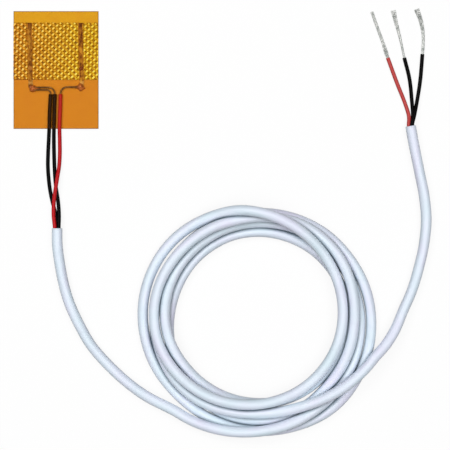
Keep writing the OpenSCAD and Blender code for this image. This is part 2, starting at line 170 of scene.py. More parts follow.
cable = {
    "diameter": 2.4 * mm,
    "bore": 0.84 * mm,
    "leadIn": [
        (0.35, -35.4, 1.22), (0.37, -39, 1.22), (0.85, -43, 1.22), (1.9, -48.2, 1.22),
        (3.2, -52.4, 1.22), (5.1, -56.6, 1.22), (7.8, -61.3, 1.22), (11.3, -65.4, 1.22),
        (15.4, -69.3, 1.35), (20, -72.6, 1.9), (26.7, -76, 3)],
    "leadOut": [
        (71.1, -63.9, 3.4), (73.6, -61.1, 3), (75.6, -58, 2.4), (77.5, -53.7, 1.7),
        (79.4, -49.4, 1.22), (80.85, -44.8, 1.22), (82.1, -39.4, 1.22), (82.65, -33.4, 1.22),
        (82.2, -28, 1.22), (81.1, -22.6, 1.22), (80, -17.2, 1.22), (79.2, -12.6, 1.22)],
    "coilMiddle": (44.9, -55.4),
    # where each turn lies at these bearings: distance from the coil's middle in mm, and level, which is
    # 1 on the floor and 2 on a turn that lies there
    "keyBearings": (270, 315, 360, 405, 450, 495, 540, 585),
    "levelRise": 2.1,
    "turnKeys": [
        ((25, 2), (24, 1), (23, 1), (22, 1.5), (21.5, 2), (21, 2), (20.5, 2), (19, 1)),
        ((19, 1), (19.5, 1), (20, 1), (20, 1), (19.5, 1), (19, 1), (19.5, 1), (21.5, 1)),
        ((23, 1), (22, 1.5), (21.5, 2), (23, 2.5), (22.5, 2.5), (22.5, 2.5), (23, 2), (21, 2.5)),
        ((19, 2), (18.5, 2), (19, 2), (20.5, 2.5), (23.5, 3.5), (25.5, 1), (25.5, 1), (24.5, 1)),
        ((25, 1), (26, 1), (25.5, 1), (24, 1), (23, 1), (22.5, 1), (23, 1), (22.5, 2))],
    "leaving": [(270, 21, 2), (300, 22, 2), (322, 24.5, 2)],
    "turns": 5,
    "bearingStep": 5,
    "aboveFloor": 0.02,
    "settleSteps": (400, 80),
    "settleShares": (1.0, 0.2),  # pull and weight fade for the last steps
    "pull": 0.12,  # share of the way back to the wanted distance that a turn takes at each step
    "weight": 0.012,  # in mm, how far the turns sink at each step
    "heldEnds": 8,  # places from each end over which the weight comes on
    "give": (0.35, 1.0),  # how readily touching turns move apart, sideways and upwards
    "pushShare": 0.7,
    "smoothing": 0.08,
    "pressed": 0.96,  # the soft jackets give where they touch
    "pathStep": 0.7,
    "sides": 28,
    "mouthDepth": 1.5 * mm,
    "layLength": 45 * mm,
    "lobes": 0.016 * mm, "slack": 0.014 * mm, "dents": 0.014 * mm, "inset": 0.024 * mm,
    "nookReach": 0.95 * mm,
}


def eased(x, y, marks):
    # smooth values at the marks, through uneven keys
    slope = np.gradient(y, x)
    k = np.clip(np.searchsorted(x, marks, side="right") - 1, 0, len(x) - 2)
    h = x[k + 1] - x[k]
    return hermite((marks - x[k]) / h, y[k], y[k + 1], h * slope[k], h * slope[k + 1])


def polar(point):
    # bearing and distance from the coil's middle, and height
    x, y = point[0] - cable["coilMiddle"][0], point[1] - cable["coilMiddle"][1]
    return math.degrees(math.atan2(y, x)) % 360, math.hypot(x, y), point[2]


def turnCourse(floor):
    # bearings along the coil, and the distance and height wanted at each
    first, last = polar(cable["leadIn"][-1]), polar(cable["leadOut"][0])
    whole = 360 * cable["turns"]
    keys = [(b + 360 * n, r, level) for n, turn in enumerate(cable["turnKeys"])
            for b, (r, level) in zip(cable["keyBearings"], turn)]
    keys += [(b + whole, r, level) for b, r, level in cable["leaving"]]
    keys = [(b, r, floor + (level - 1) * cable["levelRise"]) for b, r, level in keys]
    keys = np.array([first, *keys, (last[0] + whole, last[1], last[2])])
    count = round((keys[-1, 0] - keys[0, 0]) / cable["bearingStep"])
    bearing = np.linspace(keys[0, 0], keys[-1, 0], count + 1)
    return bearing, np.stack([eased(keys[:, 0], keys[:, axis], bearing) for axis in (1, 2)], axis=1)


def nearest(place, turn):
    # smallest distance between the middles of two turns
    closest = []
    for k in range(1, cable["turns"] + 2):
        there = np.arange(len(place)) + k * turn
        there = there[there <= len(place) - 1]
        other = np.stack([np.interp(there, np.arange(len(place)), place[:, axis]) for axis in (0, 1)], axis=1)
        closest.append(np.linalg.norm(other - place[:len(there)], axis=1).min(initial=9))
    return min(closest)


def pushApart(place, turn, gap):
    # the moves that bring turns which lie closer than the gap back towards it
    rows = np.arange(len(place))
    move = np.zeros_like(place)
    for k in range(1, cable["turns"] + 2):
        there = rows + k * turn
        ok = there <= len(place) - 1
        i, f = rows[ok], there[ok]
        lo = np.minimum(f.astype(int), len(place) - 2)
        w = (f - lo)[:, None]
        apart = place[lo] * (1 - w) + place[lo + 1] * w - place[i]
        d = np.maximum(np.linalg.norm(apart, axis=1), 1e-6)
        push = np.maximum(gap - d, 0)[:, None] * apart / d[:, None] / 2 * cable["give"]
        move[i] -= push
        np.add.at(move, lo, push * (1 - w))
        np.add.at(move, lo + 1, push * w)
    return move


def settleTurns():
    gap = cable["diameter"] / mm * cable["pressed"]
    floor = cable["diameter"] / mm / 2 + cable["aboveFloor"]
    bearing, wanted = turnCourse(floor)
    turn = 360 / (bearing[1] - bearing[0])
    place = wanted.copy()
    rows = np.arange(len(place))
    free = np.clip(np.minimum(rows, rows[::-1]) / cable["heldEnds"], 0, 1)
    for share in np.repeat(cable["settleShares"], cable["settleSteps"]):
        place[:, 0] += (wanted[:, 0] - place[:, 0]) * cable["pull"] * share
        place[:, 1] -= cable["weight"] * share * free
        place += pushApart(place, turn, gap) * cable["pushShare"]
        beside = place[:-2] + place[2:]
        place[1:-1] = place[1:-1] * (1 - 2 * cable["smoothing"]) + beside * cable["smoothing"]
        place[:, 1] = np.maximum(place[:, 1], floor)
        place[0], place[-1] = wanted[0], wanted[-1]
    top, closest = place[:, 1].max() + gap / 2, nearest(place, turn)
    print(f"coil settled, top at {top:.2f} mm, closest turns {closest:.2f} mm")
    a = np.radians(bearing)
    cx, cy = cable["coilMiddle"]
    return np.stack([cx + place[:, 0] * np.cos(a), cy + place[:, 0] * np.sin(a), place[:, 1]], axis=1)


cableRoute = np.vstack([cable["leadIn"][:-1], settleTurns(), cable["leadOut"][1:]])
cablePath = through(cableRoute, cable["pathStep"]) * mm


def jacketSkin(distance, angle):
    # three cores laid up inside show as faint lobes
    lobes = cable["lobes"] * np.cos(3 * (angle - 2 * math.pi * distance / cable["layLength"]))
    slack = cable["slack"] * np.sin(distance / 0.0071) * np.sin(distance / 0.0173 + 1.3)
    dents = cable["dents"] * np.sin(distance / 0.0031 + 2 * np.cos(angle)) * np.sin(distance / 0.0113 + angle)
    return cable["diameter"] / 2 + lobes + slack + dents - cable["inset"]


def markNooks(obj, path):
    # how close each point of the skin comes to another part of the cable, from 0 to 1
    skin = np.array([v.co for v in obj.data.vertices])
    gone = distanceAlong(path)
    nook = np.zeros(len(skin))
    batch = 2000
    for start in range(0, len(skin), batch):
        away = np.linalg.norm(skin[start:start + batch, None] - path[None], axis=2)
        own = gone[away.argmin(axis=1)]
        away[np.abs(own[:, None] - gone[None]) < 4 * cable["diameter"]] = 1
        nook[start:start + batch] = 1 - (away.min(axis=1) - cable["diameter"] / 2) / cable["nookReach"]
    marks = obj.data.attributes.new("nook", "FLOAT", "POINT")
    marks.data.foreach_set("value", np.clip(nook, 0, 1))


jacket = sweepTube("cableJacket", cablePath, jacketSkin, cable["sides"], cable["bore"], cable["mouthDepth"])
markNooks(jacket, cablePath)


# Insulated leads at the patch and tails at the far end

lead = {
    "diameter": 0.88 * mm,
    "bore": 0.26 * mm,
    "mouthDepth": 0.8 * mm,
    "wobble": 0.006 * mm,
    "step": 0.35,
    "sides": 18,
    "tucked": 1.3,  # how far each lead goes into the jacket
    "routes": {
        "blackLeadFirst": [
            (-1.15, -5.45, 0.7), (-1.32, -8.2, 0.7), (-1.41, -10.7, 0.7), (-1.48, -13.1, 0.7),
            (-1.62, -15.8, 0.5), (-1.75, -18.6, 0.46), (-1.8, -21.4, 0.46), (-1.65, -24, 0.46),
            (-1.35, -26.6, 0.46), (-0.8, -29.4, 0.46), (0, -32.4, 0.48), (0.48, -35.4, 0.71)],
        "blackLeadSecond": [
            (-0.24, -5.45, 0.7), (-0.3, -8.2, 0.7), (-0.36, -10.7, 0.7), (-0.42, -13.1, 0.7),
            (-0.46, -15.8, 0.5), (-0.42, -18.6, 0.46), (-0.34, -21.4, 0.46), (-0.2, -24, 0.46),
            (0.06, -26.6, 0.46), (0.5, -29.4, 0.64), (0.76, -32.4, 1.2), (0.72, -35.4, 1.6)],
        "redLead": [
            (1.04, -5.45, 0.7), (0.97, -8.2, 0.7), (0.88, -10.7, 0.7), (0.82, -13.1, 0.7),
            (0.86, -15.8, 0.5), (0.88, -18.6, 0.5), (0.76, -21.4, 0.8), (0.4, -24, 1.26),
            (0, -26.6, 1.44), (-0.36, -29.4, 1.46), (-0.46, -32.4, 1.42), (-0.17, -35.4, 1.36)],
    },
    "tails": {
        "redTail": [
            (78.79, -12.67, 1.1), (78.85, -10.4, 0.6), (78.05, -7.6, 0.46), (76.2, -2.9, 0.46),
            (74.15, 2.7, 0.46)],
        "blackTailFirst": [
            (79.61, -12.53, 0.78), (79.75, -10.2, 0.48), (79.5, -6.6, 0.46), (79, -2, 0.46),
            (77.85, 2.7, 0.46)],
        "blackTailSecond": [
            (79.45, -12.56, 1.72), (80, -10.2, 1.4), (80.7, -6.8, 0.7), (81.4, -2.4, 0.46),
            (81.9, 3.5, 0.46)],
    },
}


def leadSkin(distance, angle):
    # round, so the angle plays no part
    return lead["diameter"] / 2 + lead["wobble"] * np.sin(distance / 0.0023 + 2) * np.sin(distance / 0.0061)


def leadTube(name, route, end, way):
    # the end that enters the jacket runs on inside it
    inside = np.array(route[end]) + np.array(way) * lead["tucked"]
    path = through([*route, inside] if end else [inside, *route], lead["step"]) * mm
    return sweepTube(name, path, leadSkin, lead["sides"], lead["bore"], lead["mouthDepth"]), path


leads, leadPaths = {}, {}
for group, end, way in (("routes", -1, (0, -1, 0)), ("tails", 0, (0.19, -0.98, 0))):
    for name, route in lead[group].items():
        leads[name], leadPaths[name] = leadTube(name, route, end, way)
print("leads and tails drawn")


# Geometry Nodes helpers

def newTree(name, counts, sizes):
    # takes a geometry and a material, and whole counts and sizes, which start at 0
    tree = bpy.data.node_groups.new(name, "GeometryNodeTree")
    tree.interface.new_socket("Geometry", in_out="OUTPUT", socket_type="NodeSocketGeometry")
    kinds = {"Geometry": "Geometry", "Material": "Material",
             **dict.fromkeys(counts, "Int"), **dict.fromkeys(sizes, "Float")}
    for label, kind in kinds.items():
        tree.interface.new_socket(label, in_out="INPUT", socket_type="NodeSocket" + kind)
    return tree, tree.nodes.new("NodeGroupInput").outputs, tree.nodes.new("NodeGroupOutput").inputs


def addNode(tree, kind, links=(), **settings):
    node = tree.nodes.new(kind)
    for key, value in settings.items():
        setattr(node, key, value)
    for key, value in dict(links).items():
        if isinstance(value, bpy.types.NodeSocket):
            tree.links.new(value, node.inputs[key])
        else:
            node.inputs[key].default_value = value
    return node


def calc(tree, operation, *values):
    return addNode(tree, "ShaderNodeMath", dict(enumerate(values)), operation=operation).outputs[0]


def grown(name, source, tree, values, material):
    # the tree's result on the source, as a plain mesh object
    modifier = source.modifiers.new("grow", "NODES")
    modifier.node_group = tree
    for item in tree.interface.items_tree:
        if item.in_out == "INPUT" and item.name in values:
            modifier[item.identifier] = values[item.name]
        if item.in_out == "INPUT" and item.socket_type == "NodeSocketMaterial":
            modifier[item.identifier] = material
    result = source.evaluated_get(bpy.context.evaluated_depsgraph_get())
    mesh = bpy.data.meshes.new_from_object(result)
    source.modifiers.remove(modifier)
    bpy.data.objects.remove(source)
    obj = bpy.data.objects.new(name, mesh)
    mesh.name = name
    mesh.polygons.foreach_set("use_smooth", [True] * len(mesh.polygons))
    scene.collection.objects.link(obj)
    return obj


def curveObject(name, path, breadths):
    data = bpy.data.curves.new(name, "CURVE")
    data.dimensions = "3D"
    spline = data.splines.new("POLY")
    spline.points.add(len(path) - 1)
    spline.points.foreach_set("co", np.hstack([path, np.ones((len(path), 1))]).ravel())
    share = np.linspace(0, 1, len(path))
    spline.points.foreach_set("radius", np.interp(share, np.linspace(0, 1, len(breadths)), breadths))
    obj = bpy.data.objects.new(name, data)
    scene.collection.objects.link(obj)
    return obj


def emptyMesh(name):
    obj = bpy.data.objects.new(name, bpy.data.meshes.new(name))
    scene.collection.objects.link(obj)
    return obj


# Places on the patch, in mm, which its finishes need too

patch = {"width": 19.0, "length": 26.3, "deck": 0.268}
band = {
    "top": 10.55, "length": 12.7, "warpPitch": 0.78, "weftPitch": 0.67, "segments": (6, 4),
    "warpHeight": 0.46, "warpSwing": 0.055, "warpSize": (0.28, 0.074), "warpSlant": 0.17, "warpBulge": 0.28,
    "weftHeight": 0.45, "weftSwing": 0.06, "weftSize": (0.27, 0.03),
    "wander": 0.06, "skew": 0.053, "tilt": -0.029, "floor": 0.31, "ribbonFloor": 0.39, "ribbonTop": 0.49,
    "ribbonAt": (-5.8, 5.6), "ribbonLean": (0.2, 0.3), "ribbonHalf": 0.5,
}
bandEnd = band["top"] - band["length"]
bandMiddle = band["top"] - band["length"] / 2
warps = round(patch["width"] / band["warpPitch"])
wefts = round(band["length"] / band["weftPitch"])


def ribbonX(side, y):
    return band["ribbonAt"][side] + band["ribbonLean"][side] * (bandMiddle - y) / band["length"]


def fromRibbons(x, y):
    return np.minimum(abs(x - ribbonX(0, y)), abs(x - ribbonX(1, y)))


# Materials

def newMaterial(name, color, roughness, gloss=0.5, **extra):
    # color as display values
    material = bpy.data.materials.new(name)
    material.use_nodes = True
    shader = material.node_tree.nodes["Principled BSDF"]
    extra |= {"Base Color": (*linear(*color), 1), "Roughness": roughness, "Specular IOR Level": gloss}
    for key, value in extra.items():
        shader.inputs[key].default_value = value
    return material, material.node_tree, shader


def coordinates(tree, source="Object"):
    return tree.nodes.new("ShaderNodeTexCoord").outputs[source]


def axesOf(tree, where):
    return addNode(tree, "ShaderNodeSeparateXYZ", {"Vector": where}).outputs


def noiseAt(tree, where, scale, detail=3.0, stretch=None, roughness=0.55):
    if stretch:
        where = addNode(tree, "ShaderNodeMapping", {"Vector": where, "Scale": stretch}).outputs[0]
    return addNode(tree, "ShaderNodeTexNoise", {
        "Vector": where, "Scale": scale, "Detail": detail, "Roughness": roughness}).outputs["Fac"]


def ramp(tree, value, stops):
    # stops as place: display colour
    node = addNode(tree, "ShaderNodeValToRGB", {"Fac": value})
    elements = node.color_ramp.elements
    while len(elements) < len(stops):
        elements.new(0.5)
    for element, (place, color) in zip(elements, stops.items()):
        element.position = place
        element.color = (*linear(*color), 1)
    return node.outputs[0]


def spread(tree, value, low, high, toLow=0.0, toHigh=1.0):
    return addNode(tree, "ShaderNodeMapRange", {
        "Value": value, "From Min": low, "From Max": high, "To Min": toLow, "To Max": toHigh}).outputs[0]


def bump(tree, shader, height, distance, strength=1.0, onto=None):
    links = {"Height": height, "Distance": distance, "Strength": strength}
    if onto is not None:
        links["Normal"] = onto
    out = addNode(tree, "ShaderNodeBump", links).outputs[0]
    tree.links.new(out, shader.inputs["Normal"])
    return out


def mixed(tree, amount, first, second, blend="MIX"):
    node = addNode(tree, "ShaderNodeMix", {"Factor": amount}, data_type="RGBA", blend_type=blend)
    for key, value in (("A", first), ("B", second)):
        socket = [s for s in node.inputs if s.name == key and s.type == "RGBA"][0]
        if isinstance(value, bpy.types.NodeSocket):
            tree.links.new(value, socket)
        else:
            socket.default_value = (*value, 1)
    return [s for s in node.outputs if s.type == "RGBA"][0]


def jacketMaterial():
    # pale blue-white vinyl with soft lilac and cyan drifts, die lines along it, and painted shade in the
    # crevices where another turn lies close
    material, tree, shader = newMaterial("jacketVinyl", (226, 236, 247), 0.36)
    along = coordinates(tree, "UV")
    drift = noiseAt(tree, along, 1.0, 2.0, stretch=(90, 2.0, 1))
    tint = ramp(tree, drift, {0.3: (216, 233, 243), 0.5: (224, 234, 247), 0.7: (226, 227, 246)})
    smudge = noiseAt(tree, coordinates(tree), 260.0, 4.0)
    tint = mixed(tree, spread(tree, smudge, 0.56, 0.8, 0, 0.35), tint, linear(200, 212, 226))
    # painted shade: the jacket is darkened towards dark teal where another turn lies close, in the crevices
    # between the turns
    nook = addNode(tree, "ShaderNodeAttribute", attribute_name="nook").outputs["Fac"]
    crevicesShade = calc(tree, "MULTIPLY", spread(tree, nook, 0.25, 0.95), spread(tree, drift, 0.3, 0.65, 0.55, 1.0))
    tint = mixed(tree, crevicesShade, tint, linear(72, 98, 112))
    tree.links.new(tint, shader.inputs["Base Color"])
    tree.links.new(spread(tree, smudge, 0.3, 0.7, 0.3, 0.46), shader.inputs["Roughness"])
    lines = noiseAt(tree, along, 1.0, 2.0, stretch=(25, 14, 1))
    first = bump(tree, shader, lines, 0.02 * mm, 0.35)
    grain = noiseAt(tree, coordinates(tree), 700.0, 2.0)
    bump(tree, shader, grain, 0.02 * mm, 0.2, onto=first)
    return material


def insulationMaterial(name, color, pale, roughness, gloss):
    material, tree, shader = newMaterial(name, color, roughness, gloss)
    along = coordinates(tree, "UV")
    drift = noiseAt(tree, along, 1.0, 3.0, stretch=(180, 3, 1))
    tint = mixed(tree, spread(tree, drift, 0.45, 0.75, 0, 0.5), linear(*color), linear(*pale))
    tree.links.new(tint, shader.inputs["Base Color"])
    rough = spread(tree, drift, 0.3, 0.7, roughness - 0.06, roughness + 0.1)
    tree.links.new(rough, shader.inputs["Roughness"])
    lines = noiseAt(tree, along, 1.0, 2.0, stretch=(60, 22, 1))
    first = bump(tree, shader, lines, 0.01 * mm, 0.4)
    bump(tree, shader, noiseAt(tree, coordinates(tree), 3500.0, 2.0), 0.006 * mm, 0.3, onto=first)
    return material


def metalMaterial(name, color, dull, roughness, metallic=1.0, scale=900.0, gloss=0.5):
    material, tree, shader = newMaterial(name, color, roughness, gloss, Metallic=metallic)
    patches = noiseAt(tree, coordinates(tree), scale, 4.0)
    tint = mixed(tree, spread(tree, patches, 0.4, 0.7), linear(*color), linear(*dull))
    tree.links.new(tint, shader.inputs["Base Color"])
    rough = spread(tree, patches, 0.3, 0.7, roughness - 0.08, roughness + 0.14)
    tree.links.new(rough, shader.inputs["Roughness"])
    bump(tree, shader, noiseAt(tree, coordinates(tree), scale * 3, 3.0), 0.02 * mm, 0.4)
    return material


def ribbonMaterial(name, side, rim, tarnish):
    # tarnished brown ribbon, mottled, dark at its upper end, with a painted pale highlight at its foot, and
    # with resin over its edges
    material, tree, shader = newMaterial(name, (150, 88, 26), 0.45, 0.06, Metallic=0.1)
    where = coordinates(tree)
    axes = axesOf(tree, where)
    lean = -band["ribbonLean"][side] / band["length"]
    slant = calc(tree, "MULTIPLY_ADD", axes["Y"], lean, ribbonX(side, 0) * mm)
    aside = calc(tree, "SUBTRACT", axes["X"], slant)
    blotch = noiseAt(tree, where, 900.0, 3.0, stretch=(1.6, 1, 1))
    tint = ramp(tree, blotch, {0.34: (88, 40, 0), 0.5: (146, 84, 8), 0.64: (200, 136, 34)})
    tint = mixed(tree, tarnish, tint, linear(110, 64, 8))
    tint = mixed(tree, spread(tree, aside, 0.1 * mm, 0.3 * mm, 0, rim), tint, linear(70, 26, 2))
    tint = mixed(tree, spread(tree, axes["Y"], 8.4 * mm, 10.0 * mm, 0, 0.7), tint, linear(84, 34, 4))
    creep = calc(tree, "SUBTRACT", noiseAt(tree, where, 1300.0, 2.0), 0.5)
    # painted highlight: a pale glint at the ribbon's foot, just under the band
    foot = calc(tree, "ABSOLUTE", calc(tree, "SUBTRACT", axes["Y"], -2.8 * mm))
    foot = calc(tree, "MULTIPLY_ADD", creep, 1.6 * mm, foot)
    tint = mixed(tree, spread(tree, foot, 0.05 * mm, 0.5 * mm, 0.55, 0), tint, linear(226, 168, 86))
    edge = calc(tree, "MULTIPLY_ADD", creep, 0.7 * mm, calc(tree, "ABSOLUTE", aside))
    tint = mixed(tree, spread(tree, edge, 0.36 * mm, 0.46 * mm, 0, 0.85), tint, linear(196, 124, 30))
    tree.links.new(tint, shader.inputs["Base Color"])
    bump(tree, shader, blotch, 0.03 * mm, 0.5)
    return material


def baseFilmMaterial():
    # amber polyimide, golden above the band, orange below it, darker along the cut edges
    material, tree, shader = newMaterial("amberFilm", (212, 130, 40), 0.35, 0.08)
    where = coordinates(tree)
    axes = axesOf(tree, where)
    upper = spread(tree, axes["Y"], 2 * mm, 9.5 * mm)
    tint = mixed(tree, upper, linear(213, 130, 16), linear(222, 160, 10))
    cloud = noiseAt(tree, where, 420.0, 4.0)
    tint = mixed(tree, spread(tree, cloud, 0.45, 0.8, 0, 0.3), tint, linear(204, 112, 16))
    edges = [calc(tree, "SUBTRACT", patch[size] / 2 * mm, calc(tree, "ABSOLUTE", axes[axis]))
             for axis, size in (("X", "width"), ("Y", "length"))]
    border = calc(tree, "MINIMUM", *edges)
    tint = mixed(tree, spread(tree, border, 0.22 * mm, 0.06 * mm), tint, linear(140, 98, 40))
    tree.links.new(tint, shader.inputs["Base Color"])
    bump(tree, shader, noiseAt(tree, where, 1500.0, 2.0), 0.01 * mm, 0.3)
    return material


def adhesiveMaterial():
    material, tree, shader = newMaterial("adhesive", (196, 160, 92), 0.42)
    where = coordinates(tree)
    cloud = noiseAt(tree, where, 420.0, 4.0)
    tint = ramp(tree, cloud, {0.35: (186, 146, 78), 0.65: (208, 176, 110)})
    tree.links.new(tint, shader.inputs["Base Color"])
    bump(tree, shader, noiseAt(tree, where, 2200.0, 3.0), 0.03 * mm, 0.5)
    return material


def coverFilmMaterial():
    # the clear film has almost no colour and a faint sheen
    material, tree, shader = newMaterial("coverFilm", (170, 98, 10), 0.26, 0.04, Alpha=0.03)
    bump(tree, shader, noiseAt(tree, coordinates(tree), 900.0, 2.0), 0.01 * mm, 0.25)
    return material


def weaveMaterial():
    # glass yarn in amber resin: darker amber in the dips, partly from the thicker resin there and partly
    # painted shade, painted highlights of pale gold on the knuckle tops, and painted shade on the lower right
    # flanks
    material, tree, shader = newMaterial("wovenGlass", (200, 140, 36), 0.4, 0.08)
    where = coordinates(tree)
    axes = axesOf(tree, where)
    cloud = noiseAt(tree, where, 330.0, 2.0)
    # painted shade: flanks that face the lower right are made darker
    shadedFlank = addNode(tree, "ShaderNodeVectorMath", {
        0: coordinates(tree, "Normal"), 1: (0.7, -0.7, 0)}, operation="DOT_PRODUCT").outputs["Value"]
    rise = calc(tree, "MULTIPLY_ADD", calc(tree, "SUBTRACT", cloud, 0.5), 0.05 * mm, axes["Z"])
    rise = calc(tree, "MULTIPLY_ADD", shadedFlank, -0.05 * mm, rise)
    # the top of this range paints pale gold highlights on the knuckle tops; the bottom darkens the dips,
    # partly resin and partly painted shade
    level = spread(tree, rise, 0.47 * mm, 0.61 * mm)
    warm = ramp(tree, level, {
        0.0: (146, 80, 0), 0.34: (196, 124, 6), 0.6: (236, 168, 44),
        0.78: (252, 208, 98), 1.0: (255, 228, 142)})
    keen = ramp(tree, level, {
        0.0: (164, 106, 0), 0.34: (208, 156, 6), 0.6: (238, 192, 38),
        0.78: (255, 228, 84), 1.0: (255, 242, 130)})
    side = spread(tree, calc(tree, "MULTIPLY_ADD", cloud, 6 * mm, axes["X"]), -4 * mm, 10 * mm)
    tree.links.new(mixed(tree, side, warm, keen), shader.inputs["Base Color"])
    return material


looks = {
    "jacket": jacketMaterial(),
    "black": insulationMaterial("blackInsulation", (4, 4, 4), (14, 13, 13), 0.26, 0.04),
    "red": insulationMaterial("redInsulation", (182, 16, 24), (200, 32, 34), 0.32, 0.12),
    "fadedRed": insulationMaterial("fadedRedInsulation", (186, 60, 58), (200, 84, 78), 0.4, 0.3),
    "tinned": metalMaterial("tinnedCopper", (196, 197, 194), (140, 146, 142), 0.3, 0.9),
    "bareWire": metalMaterial("bareWire", (130, 86, 28), (66, 40, 10), 0.3, 0.5),
    "solder": metalMaterial("fluxedSolder", (200, 110, 48), (104, 42, 6), 0.3, 0.1, 1500.0, 0.35),
    "paleTack": metalMaterial("paleTack", (176, 112, 40), (136, 78, 18), 0.5, 0.0, 1100.0, 0.1),
    "darkTack": metalMaterial("darkTack", (124, 54, 12), (84, 28, 2), 0.45, 0.0, 1100.0, 0.1),
    "senseWire": metalMaterial("resistanceWire", (160, 108, 40), (130, 80, 20), 0.5, 0.2),
    "leftRibbon": ribbonMaterial("leftRibbon", 0, 0.4, 0.3),
    "rightRibbon": ribbonMaterial("rightRibbon", 1, 0.5, 0.0),
    "baseFilm": baseFilmMaterial(),
    "adhesive": adhesiveMaterial(),
    "coverFilm": coverFilmMaterial(),
    "weave": weaveMaterial(),
}
print("materials made")


def dress(obj, material):
    obj.data.materials.clear()
    obj.data.materials.append(looks[material])
    return obj


dress(jacket, "jacket")
for name, obj in leads.items():
    dress(obj, "black" if "black" in name else "fadedRed" if "Tail" in name else "red")


# The woven band: warp yarns stand proud at every other crossing, flat weft yarns run between

def tubesAlong(tree, curve, section, given, out):
    # sweeps the section along the curves, with closed ends and the given material
    tubes = addNode(tree, "GeometryNodeCurveToMesh", {
        "Curve": curve.outputs[0], "Profile Curve": section.outputs[0], "Fill Caps": True})
    solid = addNode(tree, "GeometryNodeRealizeInstances", {"Geometry": tubes.outputs[0]})
    final = addNode(tree, "GeometryNodeSetMaterial", {
        "Geometry": solid.outputs[0], "Material": given["Material"]})
    tree.links.new(final.outputs[0], out["Geometry"])
    return tree


def yarnTree():
    tree, given, out = newTree("yarns", ("Count", "Segments"), (
        "Pitch", "Length", "Crossing", "Swing", "Phase", "Slant", "Wander", "Bulge",
        "Half Width", "Half Thickness"))
    halfRun = calc(tree, "MULTIPLY", given["Length"], 0.5)
    ends = [addNode(tree, "ShaderNodeCombineXYZ", {"Y": y}).outputs[0]
            for y in (calc(tree, "MULTIPLY", halfRun, -1.0), halfRun)]
    line = addNode(tree, "GeometryNodeCurvePrimitiveLine", {"Start": ends[0], "End": ends[1]})
    fine = addNode(tree, "GeometryNodeResampleCurve", {"Curve": line.outputs[0], "Count": given["Segments"]})
    copies = addNode(tree, "GeometryNodeDuplicateElements",
                     {"Geometry": fine.outputs[0], "Amount": given["Count"]}, domain="SPLINE")
    index = copies.outputs["Duplicate Index"]
    here = axesOf(tree, tree.nodes.new("GeometryNodeInputPosition").outputs[0])
    across = calc(tree, "MULTIPLY", index, given["Pitch"])
    wave = calc(tree, "DIVIDE", calc(tree, "ADD", here["Y"], halfRun), given["Crossing"])
    wave = calc(tree, "ADD", calc(tree, "ADD", wave, index), given["Phase"])
    turn = calc(tree, "MULTIPLY", wave, math.pi)
    rise = calc(tree, "MULTIPLY", calc(tree, "COSINE", turn), given["Swing"])
    slant = calc(tree, "MULTIPLY", calc(tree, "SINE", turn), given["Slant"])
    seat = addNode(tree, "ShaderNodeCombineXYZ", {"X": across, "Y": here["Y"], "Z": given["Phase"]})
    cloud = addNode(tree, "ShaderNodeTexNoise", {"Vector": seat.outputs[0], "Scale": 0.7}).outputs["Fac"]
    drift = calc(tree, "SUBTRACT", cloud, 0.5)
    aside = calc(tree, "MULTIPLY_ADD", drift, calc(tree, "MULTIPLY", given["Wander"], 4.0), slant)
    offset = addNode(tree, "ShaderNodeCombineXYZ", {"X": calc(tree, "ADD", across, aside), "Z": rise})
    moved = addNode(tree, "GeometryNodeSetPosition", {
        "Geometry": copies.outputs[0], "Offset": offset.outputs[0]})
    broad = calc(tree, "MULTIPLY_ADD", calc(tree, "COSINE", turn), given["Bulge"], 1.0)
    bulged = addNode(tree, "GeometryNodeSetCurveRadius", {"Curve": moved.outputs[0], "Radius": broad})
    level = addNode(tree, "GeometryNodeSetCurveNormal", {"Curve": bulged.outputs[0]}, mode="Z_UP")
    circle = addNode(tree, "GeometryNodeCurvePrimitiveCircle", {"Resolution": 8, "Radius": 1.0})
    size = addNode(tree, "ShaderNodeCombineXYZ", {
        "X": given["Half Width"], "Y": given["Half Thickness"], "Z": 1.0}).outputs[0]
    section = addNode(tree, "GeometryNodeTransform", {"Geometry": circle.outputs[0], "Scale": size})
    return tubesAlong(tree, level, section, given, out)


